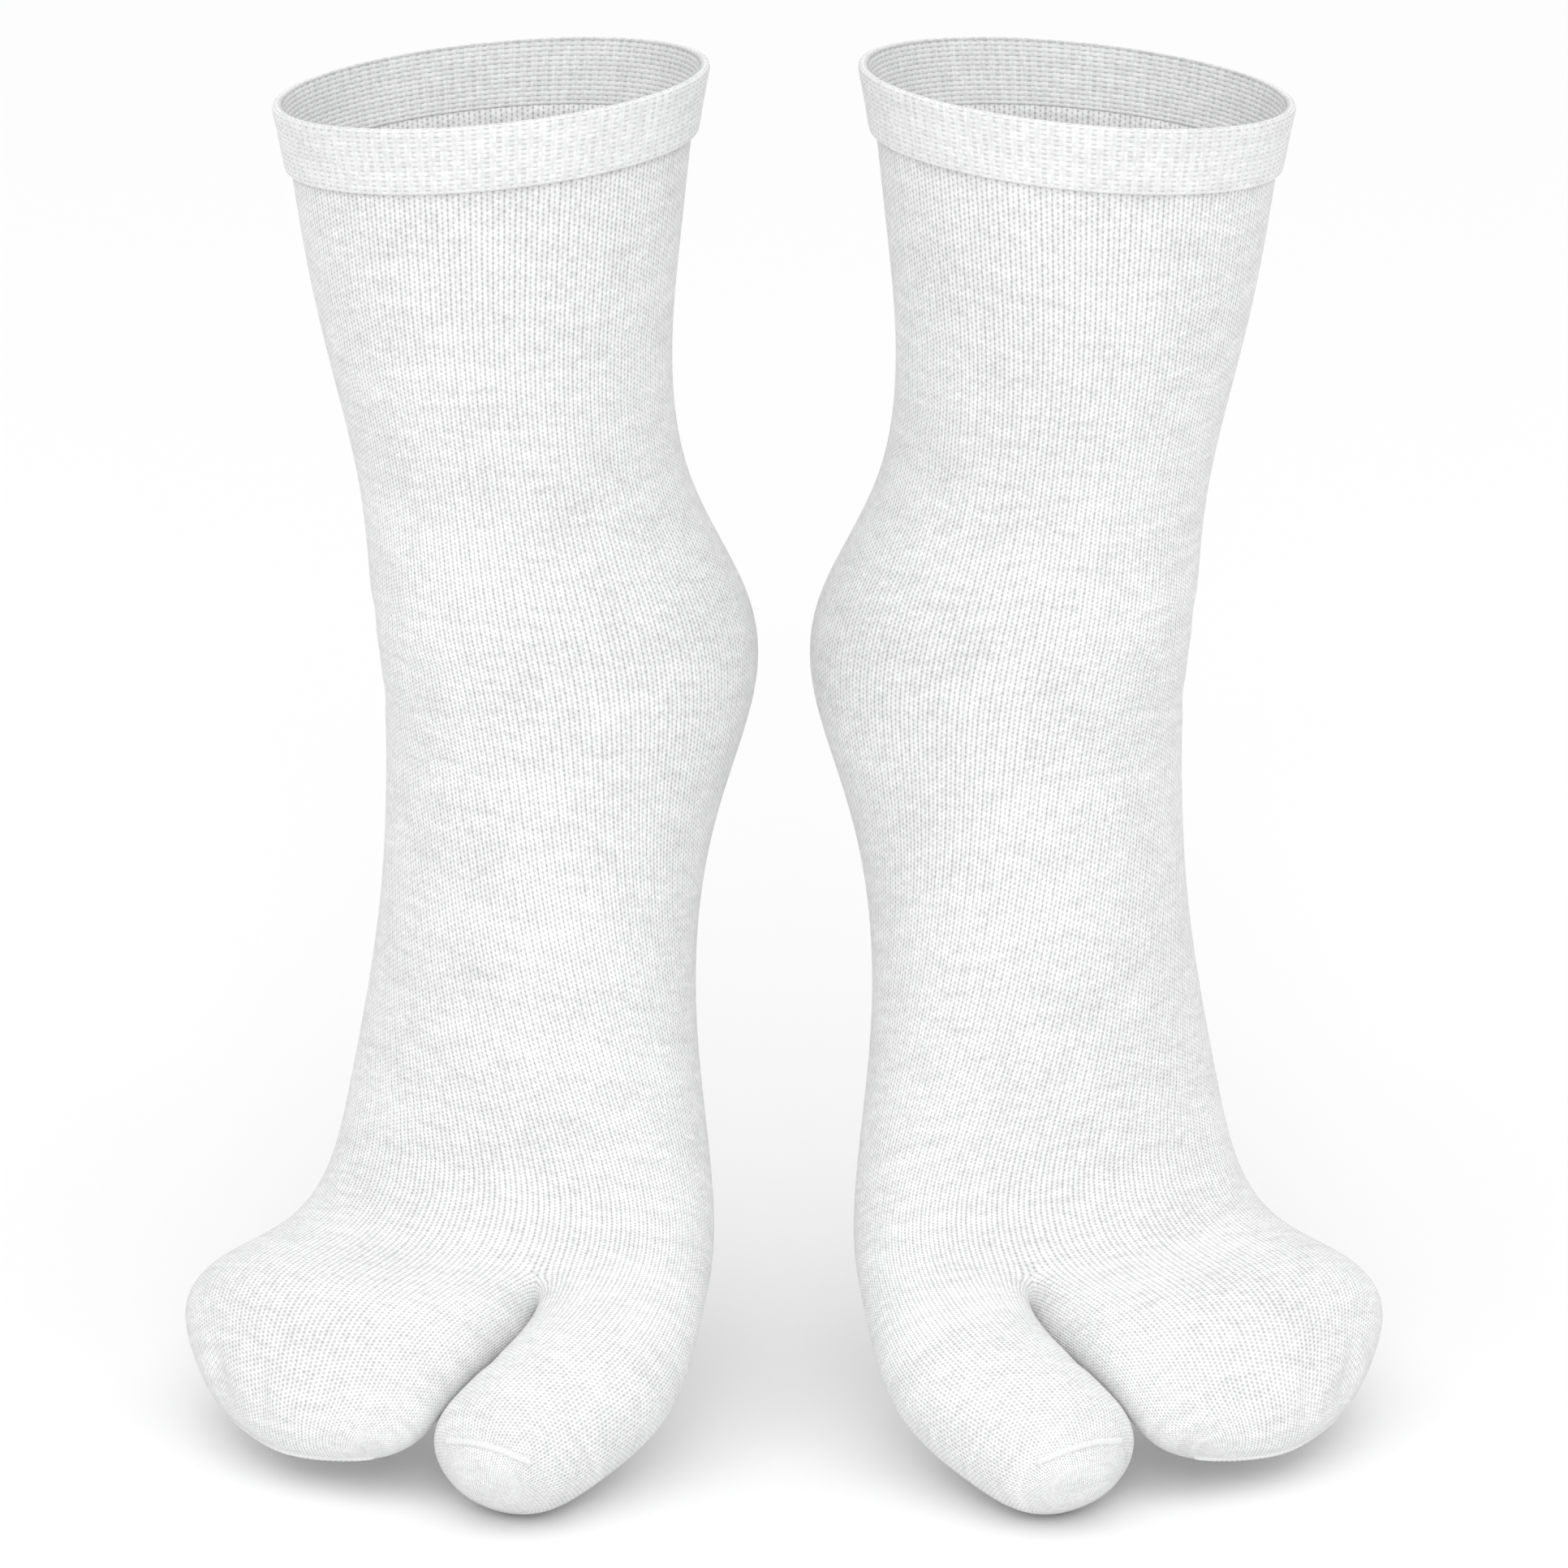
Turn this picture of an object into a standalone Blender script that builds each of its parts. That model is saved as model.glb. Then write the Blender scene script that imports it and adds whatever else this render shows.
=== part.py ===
"""A pair of split-toe tabi socks in the form they take when worn: hollow, open at the top.

Each sock is a knitted tube (leg, heel and foot in one) that divides at the ball of the foot into
a big-toe pocket and a four-toe pocket, and a turned double welt round the top of the leg.
The left sock is the mirror image of the right one.

Sizes are in millimetres and degrees. A sock is modelled as the right one, in axes whose X runs to
the pair's middle, Y to the back and Z up, from the middle of the leg at its narrowest. The pair's
origin is midway between the two.
"""
from collections import namedtuple
from math import copysign, cos, pi, radians, sin

import bmesh
import bpy
from mathutils import Vector

MM = 0.001

# Driving sizes
WALL = 1.3  # thickness of the knitted fabric
WELT_WALL = 2.6  # the welt is the fabric turned double
WELT_PROUD = 1.2  # how far the welt stands out from the leg
SEAM_GAP = 0.3  # clearance between the leg and the welt
LEG_SPACING = 134.0  # from one leg's middle to the other's

# Cage and smoothing
RING_POINTS = 16  # cage points round the leg and foot
DORSAL_CROTCH = 1  # ring point where the toes part, on top of the foot
PLANTAR_CROTCH = 7  # and under it
CAGE_LEVELS = 1  # subdivision of the cage

# Sections: middle of the ring; turn, the outward turn of its front from straight ahead; tilt, the
# angle by which the tube there has swung forward from straight down; half depth from its middle to
# the top of the foot and half width to either side; how far its big-toe side and its little-toe side
# are slid along the tube, towards the toes; and how full the ring is near its sides, 0 for an ellipse.
Section = namedtuple(
    "Section", "name x y z turn tilt half_depth half_width slide_big slide_small fullness"
)
TUBE = (
    Section("rim", -1, 0, 65, 50, -4, 50, 50, -2.8, 2.8, 0),
    Section("welt_edge", -1, 0, 49, 50, -4, 47, 47, -2.6, 2.6, 0),
    Section("calf", -1, 0, 24, 50, -2, 44, 43, -1.3, 1.3, 0),
    Section("ankle", 0, 0, 0, 50, 0, 41, 38, 0, 0, 0),
    Section("upper_heel", 5, 3, -32, 50, 3, 40, 33, 0, 0, 0),
    Section("heel", 15, 6, -60, 50, 6, 53, 33, 0, 0, 0),
    Section("heel_pad", 17, 7, -81, 48, 10, 53, 34, 0, 0, 0),
    Section("under_heel", 11, 4, -106, 46, 16, 43, 37, 0, 0, 0),
    Section("arch", 8, -2, -134, 42, 14, 37, 39, 0, 0, 0),
    Section("midfoot", 6, -9, -162, 34, 14, 34, 43, 0, -2, 0),
    Section("forefoot", 5, -17, -189, 26, 20, 29, 47, -2, -5, 0.15),
    Section("ball", 3, -28, -210, 22, 36, 24, 50, -4, -7, 0.25),
    Section("toe_root", -7, -41, -226, 24, 56, 18, 55, -12, -12, 0.3),
)
BIG_TOE = (
    Section("base", 23, -60, -235, 28, 62, 18, 22, 0, 0, 0.1),
    Section("middle", 9, -74, -242, 34, 68, 17, 21, 0, 0, 0.1),
    Section("tip", 0, -84, -246, 34, 74, 15, 20, 0, 0, 0.1),
    Section("end", -2, -91, -246, 31, 78, 11, 14, 0, 0, 0),
    Section("seam", -5, -99, -246, 31, 78, 0, 8, 0, 0, 0),
)
FOUR_TOES = (
    Section("base", -38, -36, -228, 32, 56, 17, 42, 0, -2, 0.2),
    Section("middle", -47, -48, -235, 33, 62, 15, 41, 0, -4, 0.2),
    Section("tip", -50, -61, -243, 34, 66, 12, 36, -4, -8, 0.1),
    Section("end", -52, -68, -247, 34, 68, 8, 28, -6, -8, 0),
    Section("seam", -53, -72, -248, 34, 70, 0, 21, -6, -6, 0),
)

COLOUR = (0.86, 0.86, 0.87, 1.0)


def cage_gain(count):
    """Subdivision draws a ring of count cage points in: the cage is this much larger."""
    return 3 / (2 + cos(2 * pi / count))


def section_point(row, rise, aside, shift=0.0):
    """The point that lies rise above a section's middle and aside from it, moved along by shift."""
    turn, tilt = radians(row.turn), radians(row.tilt)
    ahead = Vector((-sin(turn), -cos(turn), 0))
    up = Vector((0, 0, 1))
    along = ahead * sin(tilt) - up * cos(tilt)
    top = ahead * cos(tilt) + up * sin(tilt)
    side = Vector((cos(turn), -sin(turn), 0))
    slide = (row.slide_big if aside > 0 else row.slide_small) * abs(aside) / row.half_width
    return Vector((row.x, row.y, row.z)) + top * rise + side * aside + along * (slide + shift)


def section_ring(row, count, first_turn=0.0, grow=0.0, shift=0.0):
    """Ring of points round a section, from first_turn past its top towards the big-toe side."""
    gain = cage_gain(count)
    turns = [first_turn + 2 * pi * k / count for k in range(count)]
    return [
        section_point(
            row,
            gain * (row.half_depth + grow) * copysign(abs(cos(turn)) ** (1 - row.fullness), cos(turn)),
            gain * (row.half_width + grow) * sin(turn),
            shift,
        )
        for turn in turns
    ]


def join_rings(cage, ring_a, ring_b):
    """Quads between two closed rings of vertices."""
    count = len(ring_a)
    for k in range(count):
        n = (k + 1) % count
        cage.faces.new((ring_a[k], ring_a[n], ring_b[n], ring_b[k]))


def close_toe(cage, ring, seam_row):
    """Close a pocket on its seam line, which runs from its first widest point to the other."""
    half = len(ring) // 2
    ends = half - 1
    asides = [-seam_row.half_width * cos(pi * (k + 0.5) / ends) for k in range(ends)]
    seam = [cage.verts.new(section_point(seam_row, 0, aside)) for aside in asides]
    upper = ring[1:half]
    lower = ring[:half:-1]
    cage.faces.new((ring[0], upper[0], seam[0], lower[0]))
    for k in range(ends - 1):
        cage.faces.new((upper[k], upper[k + 1], seam[k + 1], seam[k]))
        cage.faces.new((seam[k], seam[k + 1], lower[k + 1], lower[k]))
    cage.faces.new((upper[-1], ring[half], lower[-1], seam[-1]))


def build_pocket(cage, root, rows):
    """A toe pocket from its root loop, which starts at the pocket's outer side."""
    ring = root
    for row in rows[:-1]:
        points = section_ring(row, len(root), first_turn=-pi / 2)
        following = [cage.verts.new(point) for point in points]
        join_rings(cage, ring, following)
        ring = following
    close_toe(cage, ring, rows[-1])


def build_tube(cage):
    """Leg, heel and foot down to the toes' root, then the two pockets."""
    rings = [section_ring(TUBE[1], RING_POINTS, shift=SEAM_GAP)]
    rings += [section_ring(row, RING_POINTS) for row in TUBE[2:]]
    ring = None
    for points in rings:
        following = [cage.verts.new(point) for point in points]
        if ring:
            join_rings(cage, ring, following)
        ring = following
    web = cage.verts.new((ring[DORSAL_CROTCH].co + ring[PLANTAR_CROTCH].co) / 2)
    outer = RING_POINTS * 3 // 4
    build_pocket(cage, [web] + ring[DORSAL_CROTCH : PLANTAR_CROTCH + 1], BIG_TOE)
    four_root = ring[outer:] + ring[: DORSAL_CROTCH + 1] + [web] + ring[PLANTAR_CROTCH:outer]
    build_pocket(cage, four_root, FOUR_TOES)


def build_welt(cage):
    """The turned band round the top of the leg."""
    rings = [section_ring(row, RING_POINTS, grow=WELT_PROUD) for row in TUBE[:2]]
    upper, lower = [[cage.verts.new(point) for point in points] for points in rings]
    join_rings(cage, upper, lower)


def add_piece(name, build, side, wall, material, collection):
    """One open surface, given its wall inwards. side is 1 for the right foot and -1 for the left."""
    cage = bmesh.new()
    build(cage)
    for vert in cage.verts:
        vert.co = Vector((vert.co.x * side, vert.co.y, vert.co.z)) * MM
    bmesh.ops.recalc_face_normals(cage, faces=cage.faces)
    mesh = bpy.data.meshes.new(name)
    cage.to_mesh(mesh)
    cage.free()
    mesh.shade_smooth()
    mesh.materials.append(material)
    piece = bpy.data.objects.new(name, mesh)
    piece.location.x = -side * LEG_SPACING / 2 * MM
    collection.objects.link(piece)
    smooth = piece.modifiers.new("Smooth", "SUBSURF")
    smooth.levels = smooth.render_levels = CAGE_LEVELS
    thicken = piece.modifiers.new("Wall", "SOLIDIFY")
    thicken.thickness = wall * MM
    thicken.offset = -1
    return piece


def knit_material(name, roughness):
    material = bpy.data.materials.new(name)
    material.use_nodes = True
    shader = material.node_tree.nodes["Principled BSDF"]
    shader.inputs["Base Color"].default_value = COLOUR
    shader.inputs["Roughness"].default_value = roughness
    shader.inputs["Metallic"].default_value = 0.0
    return material


def main():
    for old in list(bpy.data.objects):
        bpy.data.objects.remove(old)
    collection = bpy.data.collections.new("tabi_socks")
    bpy.context.scene.collection.children.link(collection)
    for side, foot in ((1, "right"), (-1, "left")):
        add_piece(f"sock_{foot}", build_tube, side, WALL, knit_material(f"knit_{foot}", 0.9), collection)
        add_piece(f"welt_{foot}", build_welt, side, WELT_WALL, knit_material(f"rib_{foot}", 0.85), collection)


main()
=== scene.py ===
from collections import namedtuple
from math import copysign, cos, pi, radians, sin

import bmesh
import bpy
import numpy as np
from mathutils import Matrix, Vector
from mathutils.bvhtree import BVHTree


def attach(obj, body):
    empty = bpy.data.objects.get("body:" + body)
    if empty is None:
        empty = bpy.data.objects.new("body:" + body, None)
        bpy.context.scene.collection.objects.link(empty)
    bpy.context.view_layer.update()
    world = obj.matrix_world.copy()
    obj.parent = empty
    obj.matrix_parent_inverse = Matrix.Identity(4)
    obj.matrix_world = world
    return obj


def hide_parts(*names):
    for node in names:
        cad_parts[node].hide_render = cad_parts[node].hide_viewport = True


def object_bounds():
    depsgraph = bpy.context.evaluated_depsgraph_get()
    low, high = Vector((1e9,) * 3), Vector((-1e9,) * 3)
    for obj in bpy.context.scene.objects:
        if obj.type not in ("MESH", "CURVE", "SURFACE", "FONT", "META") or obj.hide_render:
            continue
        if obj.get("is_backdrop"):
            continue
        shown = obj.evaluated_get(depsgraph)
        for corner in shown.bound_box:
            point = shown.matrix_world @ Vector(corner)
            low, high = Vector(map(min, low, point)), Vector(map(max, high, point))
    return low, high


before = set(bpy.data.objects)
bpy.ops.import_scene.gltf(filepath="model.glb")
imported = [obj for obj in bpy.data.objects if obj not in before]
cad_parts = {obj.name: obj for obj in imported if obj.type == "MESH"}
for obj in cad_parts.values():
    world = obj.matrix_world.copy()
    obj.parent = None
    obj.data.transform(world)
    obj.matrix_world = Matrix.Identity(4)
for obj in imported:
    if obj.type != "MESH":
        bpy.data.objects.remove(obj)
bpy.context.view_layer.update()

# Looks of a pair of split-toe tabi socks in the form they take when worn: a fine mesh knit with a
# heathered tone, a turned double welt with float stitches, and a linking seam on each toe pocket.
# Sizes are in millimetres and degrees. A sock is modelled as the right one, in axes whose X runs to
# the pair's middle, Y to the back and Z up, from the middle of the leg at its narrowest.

MM = 0.001

# Sizes shared with the part's source
WELT_PROUD = 1.2
LEG_SPACING = 134.0
RING_POINTS = 16
DORSAL_CROTCH = 1
PLANTAR_CROTCH = 7

# The knit
FINE_LEVELS = 3  # subdivision of the sock's cage
WELT_LEVELS = 2  # and of the welt's
SHELL = 0.8  # thickness of the shell that shows
WALES_PER_SPAN = 14  # wales between two cage points
COURSE = 1.15  # height of a course
WELT_SHELL = 2.5  # thickness of the turned welt
OPENNESS = (0.5, 0.9, 1.0, 0.55)  # how open the mesh is at a pocket's base, middle, tip and end
TUCK = 1.6  # how far the leg runs up inside the welt's lower fold
# painted shade: the welt is drawn darker along these two rings, as a shade line under its lower edge and
# along its rim
LOWER_FOLD, RIM_FOLD = 0, 8  # rings of the welt where the knit folds back
CREASE_REACH = 60  # a crease moves nothing further than this from its middle

Section = namedtuple(
    "Section", "name x y z turn tilt half_depth half_width slide_big slide_small fullness"
)
TUBE = (
    Section("rim", -1, 0, 65, 50, -4, 50, 50, -2.8, 2.8, 0),
    Section("welt_edge", -1, 0, 49, 50, -4, 47, 47, -2.6, 2.6, 0),
    Section("calf", -1, 0, 24, 50, -2, 44, 43, -1.3, 1.3, 0),
    Section("ankle", 0, 0, 0, 50, 0, 41, 38, 0, 0, 0),
    Section("upper_heel", 5, 3, -32, 50, 3, 40, 33, 0, 0, 0),
    Section("heel", 15, 6, -60, 50, 6, 53, 33, 0, 0, 0),
    Section("heel_pad", 17, 7, -81, 48, 10, 53, 34, 0, 0, 0),
    Section("under_heel", 11, 4, -106, 46, 16, 43, 37, 0, 0, 0),
    Section("arch", 8, -2, -134, 42, 14, 37, 39, 0, 0, 0),
    Section("midfoot", 6, -9, -162, 34, 14, 34, 43, 0, -2, 0),
    Section("forefoot", 5, -17, -189, 26, 20, 29, 47, -2, -5, 0.15),
    Section("ball", 3, -28, -210, 22, 36, 24, 50, -4, -7, 0.25),
    Section("toe_root", -7, -41, -226, 24, 56, 18, 55, -12, -12, 0.3),
)
BIG_TOE = (
    Section("base", 23, -60, -235, 28, 62, 18, 22, 0, 0, 0.1),
    Section("middle", 9, -74, -242, 34, 68, 17, 21, 0, 0, 0.1),
    Section("tip", 0, -84, -246, 34, 74, 15, 20, 0, 0, 0.1),
    Section("end", -2, -91, -246, 31, 78, 11, 14, 0, 0, 0),
    Section("seam", -5, -99, -246, 31, 78, 0, 8, 0, 0, 0),
)
FOUR_TOES = (
    Section("base", -38, -36, -228, 32, 56, 17, 42, 0, -2, 0.2),
    Section("middle", -47, -48, -235, 33, 62, 15, 41, 0, -4, 0.2),
    Section("tip", -50, -61, -243, 34, 66, 12, 36, -4, -8, 0.1),
    Section("end", -52, -68, -247, 34, 68, 8, 28, -6, -8, 0),
    Section("seam", -53, -72, -248, 34, 70, 0, 21, -6, -6, 0),
)
SECTIONS = {"tube": TUBE, "big": BIG_TOE, "four": FOUR_TOES}

# Creases and ridges in the knit. Each runs from one place to another on the tube or a pocket: a row
# counted from the table's first, and an angle from the top of the foot (the shin, on the leg) towards
# the big-toe side. bow is how far its middle sags towards the toes; a depth below 0 is a ridge.
Crease = namedtuple("Crease", "where row_a turn_a row_b turn_b bow width depth")
CREASES = (
    # above and over the heel, on the side that faces the other sock
    Crease("tube", 3.10, 96, 3.45, 140, 2.0, 3.0, 0.77),
    Crease("tube", 3.55, 84, 3.80, 128, 2.5, 2.6, 0.63),
    Crease("tube", 4.05, 100, 4.30, 150, 3.0, 3.4, 0.98),
    Crease("tube", 4.45, 78, 4.60, 122, 2.0, 3.0, 0.70),
    Crease("tube", 2.55, 92, 2.75, 120, 1.5, 3.0, 0.49),
    # the bend of the instep
    Crease("tube", 5.20, -34, 4.95, 22, 2.0, 4.0, 1.05),
    Crease("tube", 5.75, -26, 5.60, 34, 2.5, 4.4, 1.19),
    Crease("tube", 6.35, -38, 6.15, 12, 1.5, 3.8, 0.91),
    Crease("tube", 6.90, -22, 6.80, 30, 2.0, 4.2, 0.77),
    Crease("tube", 7.60, -30, 7.45, 8, 1.0, 4.0, 0.56),
    # the forefoot, above the toes
    Crease("tube", 9.90, -58, 10.05, -18, 2.0, 4.0, 0.84),
    Crease("tube", 10.45, -50, 10.60, 4, 2.5, 4.2, 1.05),
    Crease("tube", 10.95, -40, 11.05, -6, 1.5, 3.4, 0.70),
    Crease("tube", 11.55, -14, 11.60, 44, 1.5, 3.0, 0.70),
    Crease("tube", 8.70, -20, 8.90, 28, 2.0, 4.4, 0.56),
    # little-toe side and sole
    Crease("tube", 5.35, 236, 5.10, 286, 2.5, 4.0, 0.98),
    Crease("tube", 6.10, 250, 5.95, 304, 2.0, 4.2, 0.84),
    Crease("tube", 7.10, 232, 7.00, 270, 1.5, 4.0, 0.63),
    Crease("tube", 8.60, 160, 8.70, 214, 2.0, 4.2, 0.84),
    Crease("tube", 9.40, 150, 9.30, 200, 1.5, 4.0, 0.77),
    Crease("tube", 10.30, 168, 10.40, 226, 2.0, 4.2, 0.84),
    Crease("tube", 3.70, 168, 3.85, 214, 2.5, 3.2, 0.84),
    Crease("tube", 4.25, 176, 4.40, 232, 3.0, 3.4, 0.91),
    Crease("tube", 3.15, 190, 3.20, 238, 2.0, 3.2, 0.56),
    # the leg
    Crease("tube", 1.75, 20, 1.85, 62, 1.0, 5.0, 0.42),
    Crease("tube", 2.35, -16, 2.45, 30, 1.5, 5.0, 0.49),
    Crease("tube", 2.05, 200, 2.15, 252, 1.5, 5.0, 0.49),
    # the pockets
    Crease("big", 0.55, -62, 0.75, -8, 1.0, 2.6, 0.63),
    Crease("big", 1.20, 30, 1.35, 96, 1.5, 2.8, 0.56),
    Crease("four", 0.35, 44, 0.80, 74, 1.5, 2.8, 0.70),
    Crease("four", 1.20, -60, 1.60, -24, 2.0, 3.4, 0.63),
    Crease("four", 1.75, -34, 2.10, 14, 2.0, 3.2, 0.49),
    # hollows between the smaller toes
    Crease("four", 1.80, -46, 3.60, -46, 0.0, 3.2, 1.90),
    Crease("four", 1.90, -12, 3.70, -12, 0.0, 3.2, 1.70),
    Crease("four", 1.80, 22, 3.60, 24, 0.0, 3.2, 1.40),
    Crease("four", 0.70, 150, 0.85, 206, 2.0, 3.4, 0.63),
)
CREASE_STEPS = 13

# Toe linking seams: how far each bead lies above its pocket's closed edge, how far back from it, half
# its length, and how much higher its ends are than its middle. The big toe's shows on top, and the
# other is tucked under the toes.
Seam = namedtuple("Seam", "rise back reach sag")
SEAMS = {"big_toe": Seam(8.5, 6.0, 14.5, -2.5), "four_toe": Seam(-5.0, 1.0, 23.0, 0.0)}
SEAM_WIDTH = 0.85
SEAM_HEIGHT = 0.5
SEAM_STITCH = 1.25
SEAM_POINTS = 72
SEAM_SIDES = 10

Pile = namedtuple("Pile", "tone roughness sheen bump")
KNIT = Pile((0.82, 0.82, 0.825, 1), 0.92, 0.25, 0.35)
RIB = Pile((0.82, 0.82, 0.825, 1), 0.90, 0.25, 0.35)
THREAD = Pile((0.85, 0.85, 0.855, 1), 0.9, 0.25, 0.3)


# ---- the form -------------------------------------------------------------------------------

def cage_gain(count):
    """Subdivision draws a ring of count cage points in: the cage is this much larger."""
    return 3 / (2 + cos(2 * pi / count))


def section_point(row, rise, aside, shift=0.0):
    """The point that lies rise above a section's middle and aside from it, moved along by shift."""
    turn, tilt = radians(row.turn), radians(row.tilt)
    ahead = Vector((-sin(turn), -cos(turn), 0))
    up = Vector((0, 0, 1))
    along = ahead * sin(tilt) - up * cos(tilt)
    top = ahead * cos(tilt) + up * sin(tilt)
    side = Vector((cos(turn), -sin(turn), 0))
    slide = (row.slide_big if aside > 0 else row.slide_small) * abs(aside) / row.half_width
    return Vector((row.x, row.y, row.z)) + top * rise + side * aside + along * (slide + shift)


def point_at(row, turn, grow=0.0, shift=0.0, gain=1.0):
    """Point of a section's ring, turn radians past its top towards the big-toe side."""
    full = copysign(abs(cos(turn)) ** (1 - row.fullness), cos(turn))
    return section_point(
        row, gain * (row.half_depth + grow) * full, gain * (row.half_width + grow) * sin(turn), shift
    )


def section_ring(row, count, first_turn=0.0, grow=0.0, shift=0.0):
    """Ring of points round a section, from first_turn past its top towards the big-toe side."""
    turns = [first_turn + 2 * pi * k / count for k in range(count)]
    return [point_at(row, turn, grow, shift, cage_gain(count)) for turn in turns]


def between(rows, place):
    """The section that lies a fraction of the way from one row of a table to the next."""
    k = min(int(place), len(rows) - 2)
    t = place - k
    return Section(rows[k].name, *[a + (b - a) * t for a, b in zip(rows[k][1:], rows[k + 1][1:])])


def middle_of(row):
    return Vector((row.x, row.y, row.z))


class Cage:
    """A cage of quads with stitch coordinates: wales round the tube, courses along it."""

    def __init__(self):
        self.mesh = bmesh.new()
        self.stitch = self.mesh.loops.layers.uv.new("stitch")
        self.open = self.mesh.verts.layers.float.new("open")

    def vert(self, point, openness=0.0):
        made = self.mesh.verts.new(point)
        made[self.open] = openness
        return made

    def face(self, corners):
        """corners is a list of (vertex, span along the ring, course)."""
        face = self.mesh.faces.new([c[0] for c in corners])
        for loop, (_, span, course) in zip(face.loops, corners):
            loop[self.stitch].uv = (span * WALES_PER_SPAN, course)

    def join(self, ring_a, ring_b, course_a, course_b, first_span=0):
        count = len(ring_a)
        for k in range(count):
            n, span = (k + 1) % count, first_span + k
            self.face((
                (ring_a[k], span, course_a), (ring_a[n], span + 1, course_a),
                (ring_b[n], span + 1, course_b), (ring_b[k], span, course_b),
            ))

    def finish(self, side):
        """The right sock's cage, mirrored for the left one, as a mesh in metres."""
        for vert in self.mesh.verts:
            vert.co = Vector(((vert.co.x - LEG_SPACING / 2) * side, vert.co.y, vert.co.z)) * MM
        bmesh.ops.recalc_face_normals(self.mesh, faces=self.mesh.faces)
        made = bpy.data.meshes.new("cage")
        self.mesh.to_mesh(made)
        self.mesh.free()
        return made


def close_toe(cage, ring, seam_row, span, course, end_course):
    """Close a pocket on its seam line, which runs from its first widest point to the other."""
    half = len(ring) // 2
    count = len(ring)
    ends = half - 1
    asides = [-seam_row.half_width * cos(pi * (k + 0.5) / ends) for k in range(ends)]
    seam = [cage.vert(section_point(seam_row, 0, aside), 0.0) for aside in asides]
    upper = [(ring[k], span + k, course) for k in range(1, half)]
    lower = [(ring[k], span + k, course) for k in range(count - 1, half, -1)]
    above = [(seam[k], span + k + 1, end_course) for k in range(ends)]
    below = [(seam[k], span + count - 1 - k, end_course) for k in range(ends)]
    cage.face(((ring[0], span, course), upper[0], above[0], (lower[0][0], span - 1, course)))
    for k in range(ends - 1):
        cage.face((upper[k], upper[k + 1], above[k + 1], above[k]))
        cage.face((below[k], below[k + 1], lower[k + 1], lower[k]))
    cage.face((upper[-1], (ring[half], span + half, course), (lower[-1][0], span + half + 1, course),
               above[-1]))


def build_pocket(cage, root, rows, root_row, course, span):
    """A toe pocket from its root loop, which starts at the pocket's outer side."""
    ring, before = root, middle_of(root_row)
    for number, row in enumerate(rows[:-1]):
        openness = OPENNESS[number]
        following = [cage.vert(p, openness) for p in section_ring(row, len(root), first_turn=-pi / 2)]
        further = course + (middle_of(row) - before).length / COURSE
        cage.join(ring, following, course, further, span)
        ring, course, before = following, further, middle_of(row)
    reach = (middle_of(rows[-1]) - before).length + rows[-2].half_depth
    close_toe(cage, ring, rows[-1], span, course, course + reach / COURSE)


def build_tube(cage):
    """Leg, heel and foot down to the toes' root, then the two pockets."""
    rows = TUBE[1:]
    ring = course = None
    for number, row in enumerate(rows):
        shift = 0.0 if number else -TUCK
        openness = max(0.0, (number - 8) / (len(rows) - 8)) * 0.3
        following = [cage.vert(p, openness) for p in section_ring(row, RING_POINTS, shift=shift)]
        if ring:
            further = course + (middle_of(row) - before).length / COURSE
            cage.join(ring, following, course, further)
            course = further
        else:
            course = 0.0
        ring, before = following, middle_of(row)
    web = cage.vert((ring[DORSAL_CROTCH].co + ring[PLANTAR_CROTCH].co) / 2, 0.3)
    outer = RING_POINTS * 3 // 4
    build_pocket(cage, [web] + ring[DORSAL_CROTCH : PLANTAR_CROTCH + 1], BIG_TOE, rows[-1], course,
                 DORSAL_CROTCH - 1)
    four_root = ring[outer:] + ring[: DORSAL_CROTCH + 1] + [web] + ring[PLANTAR_CROTCH:outer]
    build_pocket(cage, four_root, FOUR_TOES, rows[-1], course, outer)


def build_welt(cage):
    """The turned band round the top of the leg: out, over the rim and down inside, in one loop."""
    low, high = TUBE[1], TUBE[0]
    height = (middle_of(high) - middle_of(low)).length
    round_off = WELT_SHELL / 2
    out, inside = WELT_PROUD, WELT_PROUD - WELT_SHELL
    # place up the band from its lower edge, and how far outside the leg's form; the places where the
    # knit folds back, LOWER_FOLD and RIM_FOLD, are counted from the first
    profile = (
        (0.0, (out + inside) / 2), (0.35, out), (round_off, out + 0.15), (height * 0.33, out),
        (height * 0.67, out), (height - round_off, out + 0.1), (height - 0.25, out - 0.1),
        (height, (out + inside) / 2), (height - 0.25, inside + 0.1), (height - round_off, inside),
        (height * 0.67, inside), (height * 0.33, inside), (round_off, inside), (0.35, inside),
    )
    rings, courses, before, course = [], [], None, 0.0
    for number, (rise, grow) in enumerate(profile):
        row = between((low, high), rise / height)
        if before:
            course += (Vector((rise, grow)) - before).length / COURSE
        before = Vector((rise, grow))
        # painted shade: the rings at both folds are marked for a dark line in the welt's colour
        painted_fold_shade = 1.0 if number in (LOWER_FOLD, RIM_FOLD) else 0.0
        rings.append([cage.vert(p, painted_fold_shade) for p in section_ring(row, RING_POINTS, grow=grow)])
        courses.append(course)
    last = course + (Vector(profile[0]) - before).length / COURSE
    for k, ring in enumerate(rings):
        n = (k + 1) % len(rings)
        cage.join(ring, rings[n], courses[k], courses[n] if n else last)


def crease_line(crease):
    """Points along a crease, on the sock's surface."""
    rows, points = SECTIONS[crease.where], []
    for k in range(CREASE_STEPS):
        t = k / (CREASE_STEPS - 1)
        row = between(rows, crease.row_a + (crease.row_b - crease.row_a) * t)
        turn = radians(crease.turn_a + (crease.turn_b - crease.turn_a) * t)
        points.append(point_at(row, turn, shift=crease.bow * sin(pi * t)))
    return np.array(points)


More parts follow.
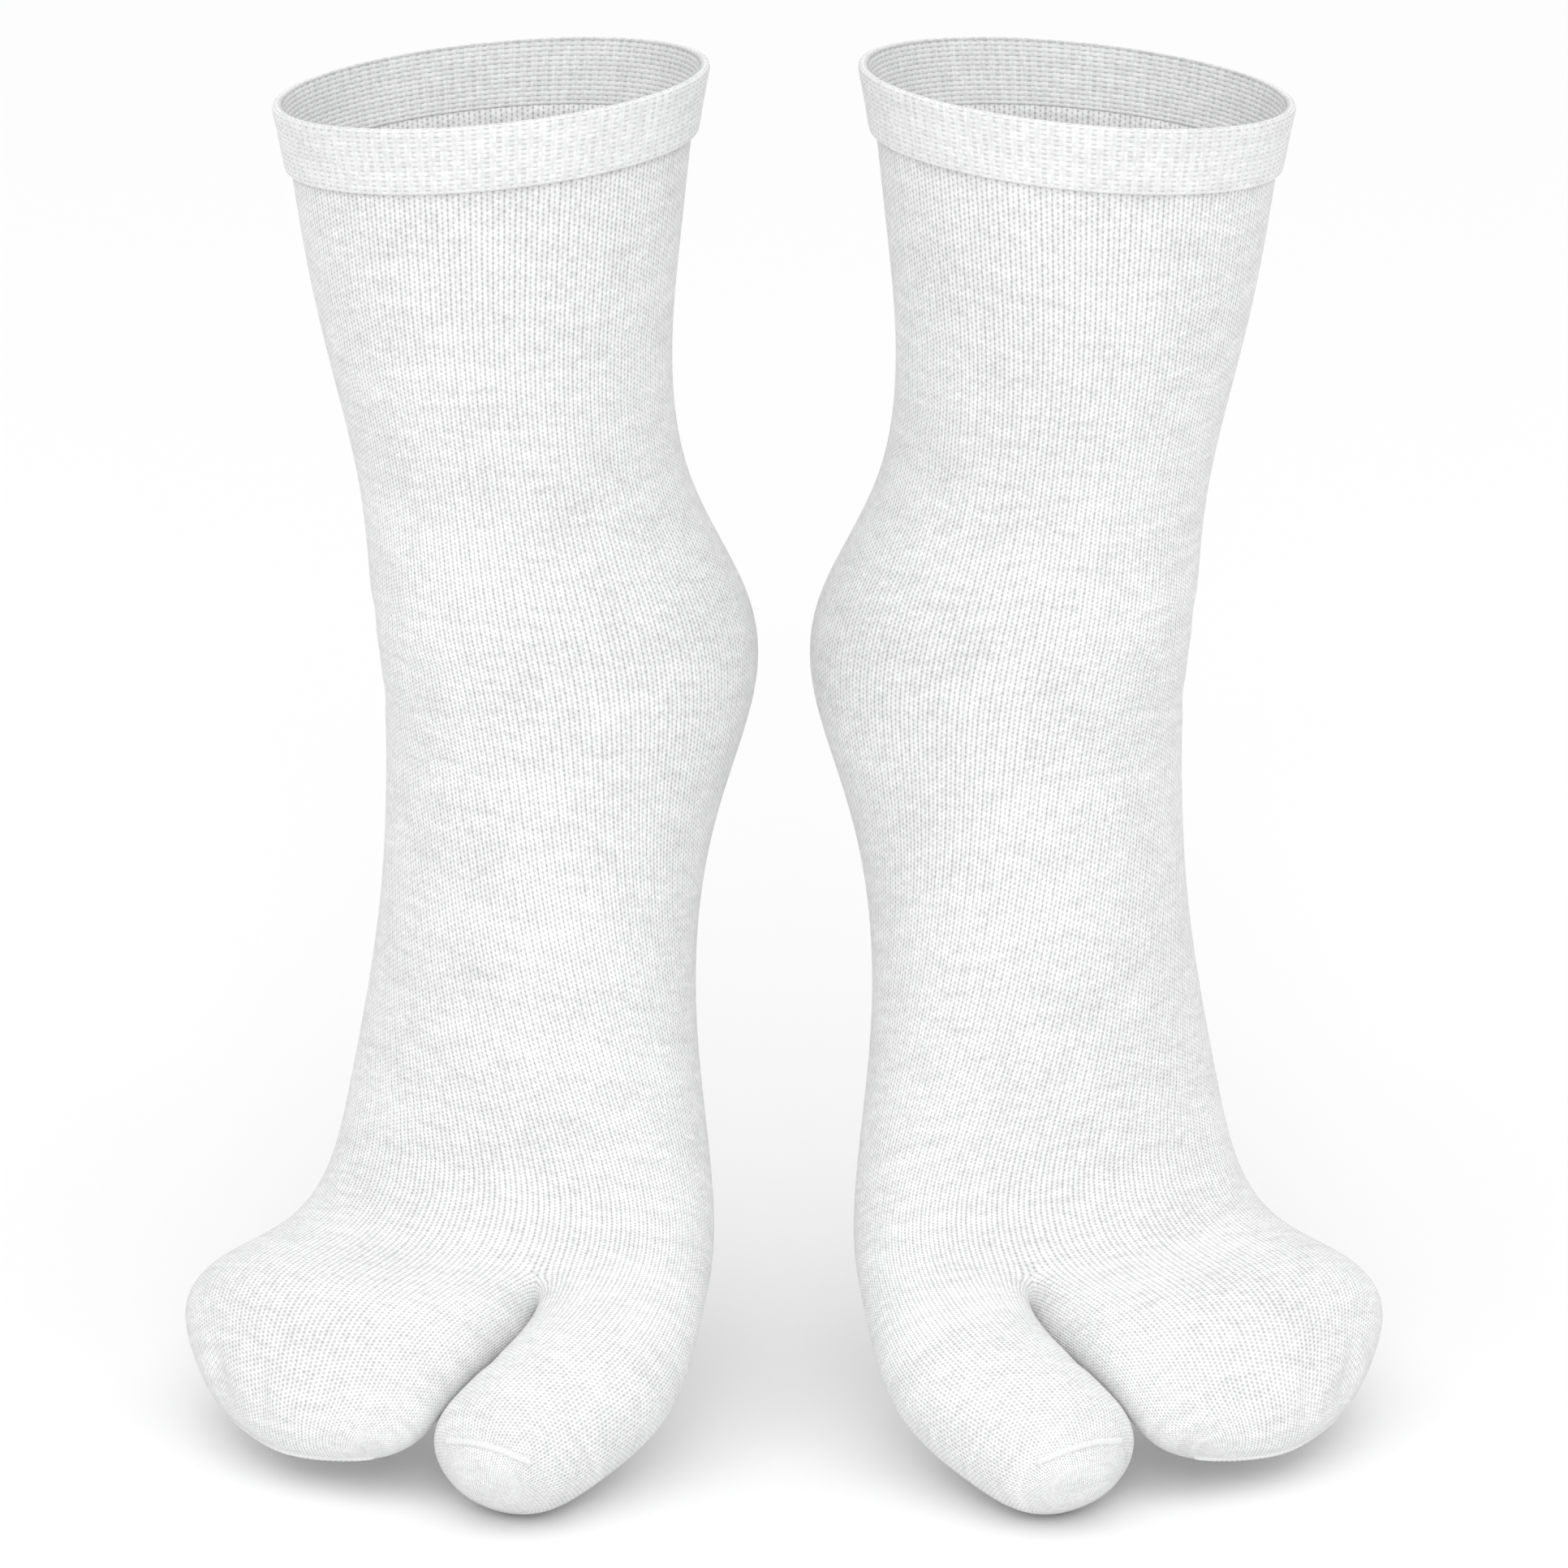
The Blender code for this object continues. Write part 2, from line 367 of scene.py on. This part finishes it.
def crease_offsets(places):
    """How far each place on the surface is moved out by the creases, all in millimetres."""
    offsets = np.zeros(len(places))
    for crease in CREASES:
        line = crease_line(crease)
        near = np.where(np.linalg.norm(places - line[CREASE_STEPS // 2], axis=1) < CREASE_REACH)[0]
        if not len(near):
            continue
        start, step = line[:-1], line[1:] - line[:-1]
        gap = places[near][:, None, :] - start[None]
        t = np.clip((gap * step).sum(2) / (step * step).sum(1), 0, 1)
        away = np.linalg.norm(gap - t[..., None] * step, axis=2)
        nearest = away.argmin(1)
        pick = np.arange(len(near))
        along = (nearest + t[pick, nearest]) / len(step)
        fade = np.sin(pi * np.clip(along, 0, 1)) ** 0.8
        d = away[pick, nearest] / crease.width
        shape = np.exp(-(d ** 2)) - 0.45 * np.exp(-((d / 2.1) ** 2))
        offsets[near] -= crease.depth * fade * shape
    return offsets


def smoothed(name, cage_mesh, levels, relief=None, side=1):
    """The cage subdivided, with its relief moved out along the normals, as a new object."""
    rough = bpy.data.objects.new(name + "_cage", cage_mesh)
    bpy.context.scene.collection.objects.link(rough)
    smooth = rough.modifiers.new("Smooth", "SUBSURF")
    smooth.levels = smooth.render_levels = levels
    fine = bpy.data.meshes.new_from_object(rough.evaluated_get(bpy.context.evaluated_depsgraph_get()))
    bpy.data.objects.remove(rough)
    fine.name = name
    fine.shade_smooth()
    if relief:
        count = len(fine.vertices)
        places = np.empty(count * 3)
        fine.vertices.foreach_get("co", places)
        places = places.reshape(-1, 3)
        normals = np.empty(count * 3)
        fine.vertex_normals.foreach_get("vector", normals)
        normals = normals.reshape(-1, 3)
        own = places / MM
        own[:, 0] = own[:, 0] * side + LEG_SPACING / 2
        moved = places + normals * relief(own)[:, None] * MM
        fine.vertices.foreach_set("co", moved.ravel())
        fine.update()
    made = bpy.data.objects.new(name, fine)
    bpy.context.scene.collection.objects.link(made)
    return made


# ---- the materials --------------------------------------------------------------------------

class Shader:
    """The nodes of one material, with sums written as calls."""

    def __init__(self, name, pile):
        self.material = bpy.data.materials.new(name)
        self.material.use_nodes = True
        self.tree = self.material.node_tree
        self.surface = self.tree.nodes["Principled BSDF"]
        self.surface.inputs["Roughness"].default_value = pile.roughness
        self.surface.inputs["Sheen Weight"].default_value = pile.sheen
        self.surface.inputs["Sheen Roughness"].default_value = 0.5
        self.surface.inputs["Specular IOR Level"].default_value = 0.25
        self.pile = pile

    def node(self, kind, settings=(), **inputs):
        made = self.tree.nodes.new(kind)
        for key, value in dict(settings).items():
            setattr(made, key, value)
        for key, value in inputs.items():
            self.put(made.inputs[key.replace("_", " ")], value)
        return made

    def put(self, socket, value):
        if isinstance(value, bpy.types.NodeSocket):
            self.tree.links.new(value, socket)
        else:
            socket.default_value = value

    def sum(self, operation, *values, clamp=False):
        made = self.tree.nodes.new("ShaderNodeMath")
        made.operation, made.use_clamp = operation, clamp
        for socket, value in zip(made.inputs, values):
            self.put(socket, value)
        return made.outputs[0]

    def stitch(self):
        """(wales, courses) at this point."""
        place = self.node("ShaderNodeUVMap", {"uv_map": "stitch"}).outputs[0]
        split = self.node("ShaderNodeSeparateXYZ", Vector=place)
        return split.outputs[0], split.outputs[1]

    def from_middle(self, value):
        """0 where value is a whole number, 0.5 half way between two."""
        past_half = self.sum("SUBTRACT", self.sum("FRACT", value), 0.5)
        return self.sum("SUBTRACT", 0.5, self.sum("ABSOLUTE", past_half))

    def heather(self, courses):
        """Soft grey streaks that run along the courses, and longer clouds under them."""
        place = self.node("ShaderNodeNewGeometry").outputs["Position"]
        split = self.node("ShaderNodeSeparateXYZ", Vector=place)
        tones = []
        for across, along, detail in ((90, 0.50, 3), (260, 0.9, 2), (24, 0.07, 2)):
            where = self.node(
                "ShaderNodeCombineXYZ",
                X=self.sum("MULTIPLY", split.outputs[0], across),
                Y=self.sum("MULTIPLY", split.outputs[1], across),
                Z=self.sum("MULTIPLY", courses, along),
            )
            tones.append(self.node(
                "ShaderNodeTexNoise", Vector=where.outputs[0], Scale=1.0, Detail=float(detail), Roughness=0.6
            ).outputs[0])
        total = self.sum("MULTIPLY_ADD", tones[0], 0.45, self.sum("MULTIPLY", tones[1], 0.3))
        return self.sum("SUBTRACT", self.sum("MULTIPLY_ADD", tones[2], 0.25, total), 0.5)

    def speckle(self, wales, courses):
        """A chance tone for each stitch."""
        cell = self.node(
            "ShaderNodeCombineXYZ", X=self.sum("FLOOR", self.sum("MULTIPLY", wales, 2.0)),
            Y=self.sum("FLOOR", courses),
        )
        chance = self.node("ShaderNodeTexWhiteNoise", {"noise_dimensions": "2D"}, Vector=cell.outputs[0])
        return self.sum("SUBTRACT", chance.outputs[0], 0.5)

    def finish(self, tone, height, distance):
        """tone multiplies the pile's colour, height is the relief."""
        colour = self.node("ShaderNodeVectorMath", {"operation": "SCALE"}, Scale=tone)
        colour.inputs[0].default_value = self.pile.tone[:3]
        self.tree.links.new(colour.outputs[0], self.surface.inputs["Base Color"])
        bump = self.node("ShaderNodeBump", Height=height, Strength=self.pile.bump, Distance=distance)
        self.tree.links.new(bump.outputs[0], self.surface.inputs["Normal"])
        return self.material


def knit_material():
    """Fine mesh knit: ridges with small staggered holes between them; painted shade darkens the holes and
    runs along the valleys, darker in every second valley.
    """
    s = Shader("mesh_knit", KNIT)
    wales, courses = s.stitch()
    openness = s.node("ShaderNodeAttribute", {"attribute_name": "open"}).outputs["Fac"]
    valley = s.from_middle(wales)
    number = s.sum("ROUND", wales)
    odd = s.sum("MULTIPLY", s.from_middle(s.sum("MULTIPLY", number, 0.5)), 2.0)
    hole_place = s.sum("MULTIPLY_ADD", odd, 0.5, courses)
    hole_gap = s.from_middle(hole_place)
    reach = s.sum("MULTIPLY_ADD", openness, 0.08, 0.30)
    wide = s.sum("DIVIDE", valley, reach)
    tall = s.sum("DIVIDE", hole_gap, s.sum("MULTIPLY_ADD", openness, 0.04, 0.33))
    from_hole = s.sum("MULTIPLY_ADD", wide, wide, s.sum("MULTIPLY", tall, tall))
    hole_and_its_shade = s.sum("SUBTRACT", 1.0, from_hole, clamp=True)
    # painted shade: a dark line along each valley between the wales, darker in every second valley and
    # fainter where the mesh opens wider
    line = s.sum("SUBTRACT", 1.0, s.sum("DIVIDE", valley, 0.26), clamp=True)
    valley_shade_weight = s.sum("MULTIPLY_ADD", odd, 0.55, 0.45)
    closed = s.sum("SUBTRACT", 1.0, s.sum("MULTIPLY", openness, 0.75))
    line = s.sum("MULTIPLY", s.sum("MULTIPLY", line, valley_shade_weight), closed)
    # each stitch's two legs lean together into a V
    leg = s.sum("MULTIPLY_ADD", valley, 1.1, courses)
    vee = s.sum("MULTIPLY", s.from_middle(leg), 2.0)
    # painted shade: the holes are real openings, drawn darker for the shaded inside seen through them, more
    # so where the mesh opens wider
    tone = s.sum("MULTIPLY_ADD", hole_and_its_shade, s.sum("MULTIPLY_ADD", openness, -0.04, -0.30), 1.05)
    tone = s.sum("MULTIPLY_ADD", line, -0.20, tone)
    tone = s.sum("MULTIPLY_ADD", s.speckle(wales, courses), 0.15, tone)
    tone = s.sum("MULTIPLY_ADD", s.heather(courses), 0.65, tone)
    ridge = s.sum("SINE", s.sum("MULTIPLY", valley, pi))
    height = s.sum("MULTIPLY_ADD", vee, 0.35, ridge)
    height = s.sum("MULTIPLY_ADD", hole_and_its_shade, -0.9, height)
    return s.finish(tone, height, 0.35 * MM)


def rib_material():
    """The welt: float stitches, as short recessed dashes in every second wale, one to a course, with painted
    shade in the dashes and in the recessed columns between them, and a painted shade line along both folds.
    """
    s = Shader("welt_knit", RIB)
    wales, courses = s.stitch()
    half = s.sum("MULTIPLY", wales, 0.5)
    across = s.sum("MULTIPLY", s.from_middle(half), 2.0)
    up = s.from_middle(courses)
    wide, tall = s.sum("DIVIDE", across, 0.50), s.sum("DIVIDE", up, 0.24)
    from_dash = s.sum("MULTIPLY_ADD", s.sum("POWER", wide, 4.0), 1.0, s.sum("MULTIPLY", tall, tall))
    dash_and_its_shade = s.sum("SUBTRACT", 1.0, from_dash, clamp=True)
    from_column = s.from_middle(s.sum("ADD", half, 0.5))
    column_and_its_shade = s.sum("SUBTRACT", 1.0, s.sum("DIVIDE", from_column, 0.12), clamp=True)
    # painted shade: the recessed dashes and the recessed columns between them are drawn darker
    tone = s.sum("MULTIPLY_ADD", dash_and_its_shade, -0.24, 1.03)
    tone = s.sum("MULTIPLY_ADD", column_and_its_shade, -0.05, tone)
    tone = s.sum("MULTIPLY_ADD", s.speckle(wales, courses), 0.14, tone)
    tone = s.sum("MULTIPLY_ADD", s.heather(courses), 0.5, tone)
    # painted shade: a dark line along the welt's lower edge, where the proud welt shades the gap over the
    # leg, and along the folded rim
    painted_fold_shade = s.node("ShaderNodeAttribute", {"attribute_name": "open"}).outputs["Fac"]
    tone = s.sum("MULTIPLY_ADD", s.sum("POWER", painted_fold_shade, 2.0), -0.45, tone)
    height = s.sum("MULTIPLY_ADD", dash_and_its_shade, -0.8, s.sum("SINE", s.sum("MULTIPLY", up, pi)))
    height = s.sum("MULTIPLY_ADD", column_and_its_shade, -0.4, height)
    return s.finish(tone, height, 0.35 * MM)


def thread_material():
    """The linking seam's thread: strands that slant across the bead, with painted shade in the grooves
    between them.
    """
    s = Shader("seam_thread", THREAD)
    turns, length = s.stitch()
    strand_and_groove_shade = s.from_middle(s.sum("MULTIPLY_ADD", turns, 1.0, length))
    # painted shade: the grooves between the strands are drawn darker
    tone = s.sum("MULTIPLY_ADD", strand_and_groove_shade, 0.16, 0.93)
    return s.finish(tone, s.sum("MULTIPLY", strand_and_groove_shade, 2.0), 0.3 * MM)


# ---- the pieces -----------------------------------------------------------------------------

def add_seam(name, surface, seam_row, seam, side, material):
    """A bead of thread along a pocket's seam, laid on the surface, with a bulge for each stitch."""
    tree = BVHTree.FromPolygons(
        [v.co for v in surface.data.vertices], [tuple(p.vertices) for p in surface.data.polygons]
    )
    line = []
    for k in range(SEAM_POINTS):
        t = 2 * k / (SEAM_POINTS - 1) - 1
        own = section_point(seam_row, seam.rise + seam.sag * t * t, seam.reach * t, -seam.back)
        place = Vector(((own.x - LEG_SPACING / 2) * side, own.y, own.z)) * MM
        spot, normal, _, _ = tree.find_nearest(place)
        line.append((spot + normal * SEAM_HEIGHT * 0.1 * MM, normal))
    mesh = bmesh.new()
    stitch = mesh.loops.layers.uv.new("stitch")
    rings, lengths, length = [], [], 0.0
    for k, (spot, normal) in enumerate(line):
        before, after = line[max(k - 1, 0)][0], line[min(k + 1, SEAM_POINTS - 1)][0]
        ahead = (after - before).normalized()
        if k:
            length += (spot - line[k - 1][0]).length / MM
        wave = 1 + 0.22 * cos(2 * pi * length / SEAM_STITCH)
        taper = min(1.0, 0.35 + 0.25 * min(k, SEAM_POINTS - 1 - k))
        out = (normal - ahead * normal.dot(ahead)).normalized()
        across = ahead.cross(out)
        high, wide = SEAM_HEIGHT * wave * taper * MM, SEAM_WIDTH * wave * taper * MM
        ring = []
        for j in range(SEAM_SIDES):
            turn = 2 * pi * j / SEAM_SIDES
            ring.append(mesh.verts.new(spot + out * high * cos(turn) + across * wide * sin(turn)))
        rings.append(ring)
        lengths.append(length)
    for k in range(SEAM_POINTS - 1):
        for j in range(SEAM_SIDES):
            n = (j + 1) % SEAM_SIDES
            face = mesh.faces.new((rings[k][j], rings[k][n], rings[k + 1][n], rings[k + 1][j]))
            spots = ((j, k), (j + 1, k), (j + 1, k + 1), (j, k + 1))
            for loop, (turn, at) in zip(face.loops, spots):
                loop[stitch].uv = (turn / SEAM_SIDES, lengths[at] / SEAM_STITCH)
    mesh.faces.new(rings[0][::-1])
    mesh.faces.new(rings[-1])
    bmesh.ops.recalc_face_normals(mesh, faces=mesh.faces)
    data = bpy.data.meshes.new(name)
    mesh.to_mesh(data)
    mesh.free()
    data.shade_smooth()
    data.materials.append(material)
    made = bpy.data.objects.new(name, data)
    bpy.context.scene.collection.objects.link(made)
    return made


def shell(piece, thickness, material):
    piece.data.materials.clear()
    piece.data.materials.append(material)
    wall = piece.modifiers.new("Wall", "SOLIDIFY")
    wall.thickness = thickness * MM
    wall.offset = -1


def add_sock(side, foot, knit, rib, thread):
    """side is 1 for the right foot and -1 for the left."""
    cage = Cage()
    build_tube(cage)
    sock = smoothed(f"sock_knit_{foot}", cage.finish(side), FINE_LEVELS, crease_offsets, side)
    shell(sock, SHELL, knit)
    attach(sock, "root")
    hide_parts(f"sock_{foot}")

    cage = Cage()
    build_welt(cage)
    welt = smoothed(f"welt_knit_{foot}", cage.finish(side), WELT_LEVELS)
    welt.data.materials.clear()
    welt.data.materials.append(rib)
    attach(welt, "root")
    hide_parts(f"welt_{foot}")

    for pocket, rows in (("big_toe", BIG_TOE), ("four_toe", FOUR_TOES)):
        seam = add_seam(f"{pocket}_seam_{foot}", sock, rows[-1], SEAMS[pocket], side, thread)
        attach(seam, "root")


knit, rib, thread = knit_material(), rib_material(), thread_material()
for side, foot in ((1, "right"), (-1, "left")):
    add_sock(side, foot, knit, rib, thread)


# ---- floor, light and camera ----------------------------------------------------------------

def aim(made, target):
    made.rotation_mode = "QUATERNION"
    made.rotation_quaternion = (Vector(target) - made.location).to_track_quat("-Z", "Y")


def add_floor(height):
    mesh = bpy.data.meshes.new("floor")
    reach = 6.0
    mesh.from_pydata(
        [(-reach, -reach, height), (reach, -reach, height), (reach, reach, height), (-reach, reach, height)],
        [], [(0, 1, 2, 3)],
    )
    material = bpy.data.materials.new("floor")
    material.use_nodes = True
    shader = material.node_tree.nodes["Principled BSDF"]
    shader.inputs["Base Color"].default_value = (0.93, 0.93, 0.93, 1)
    shader.inputs["Roughness"].default_value = 1.0
    shader.inputs["Specular IOR Level"].default_value = 0.0
    mesh.materials.append(material)
    floor = bpy.data.objects.new("floor", mesh)
    bpy.context.scene.collection.objects.link(floor)
    floor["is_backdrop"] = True


def add_area(name, place, target, size, power):
    light = bpy.data.lights.new(name, "AREA")
    light.shape, light.size, light.energy = "DISK", size, power
    made = bpy.data.objects.new(name, light)
    made.location = place
    bpy.context.scene.collection.objects.link(made)
    aim(made, target)


def add_sun(name, way, strength):
    """A very soft light from overhead, as even over the floor as over the socks."""
    light = bpy.data.lights.new(name, "SUN")
    light.energy, light.angle = strength, radians(70)
    made = bpy.data.objects.new(name, light)
    made.location = way
    bpy.context.scene.collection.objects.link(made)
    aim(made, (0, 0, 0))


CENTRE = (0, 0, -0.106)  # where the lights and the camera point
FLOOR_GAP = 0.0002
add_floor(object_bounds()[0].z - FLOOR_GAP)
add_area("key", (0, -2.1, 0.9), CENTRE, 1.2, 9)
add_sun("sky", (0, -0.35, 1), 1.2)

world = bpy.data.worlds.new("studio")
bpy.context.scene.world = world
world.use_nodes = True
world.node_tree.nodes["Background"].inputs["Color"].default_value = (1, 1, 1, 1)
world.node_tree.nodes["Background"].inputs["Strength"].default_value = 0.68
bpy.context.scene.view_settings.view_transform = "Standard"

PITCH, DISTANCE, LENS = 17.5, 1.5, 143.3
camera = bpy.data.objects.new("camera", bpy.data.cameras.new("camera"))
camera.data.lens, camera.data.sensor_width = LENS, 36
camera.location = (
    0, CENTRE[1] - DISTANCE * cos(radians(PITCH)), CENTRE[2] + DISTANCE * sin(radians(PITCH))
)
bpy.context.scene.collection.objects.link(camera)
aim(camera, CENTRE)
bpy.context.scene.camera = camera
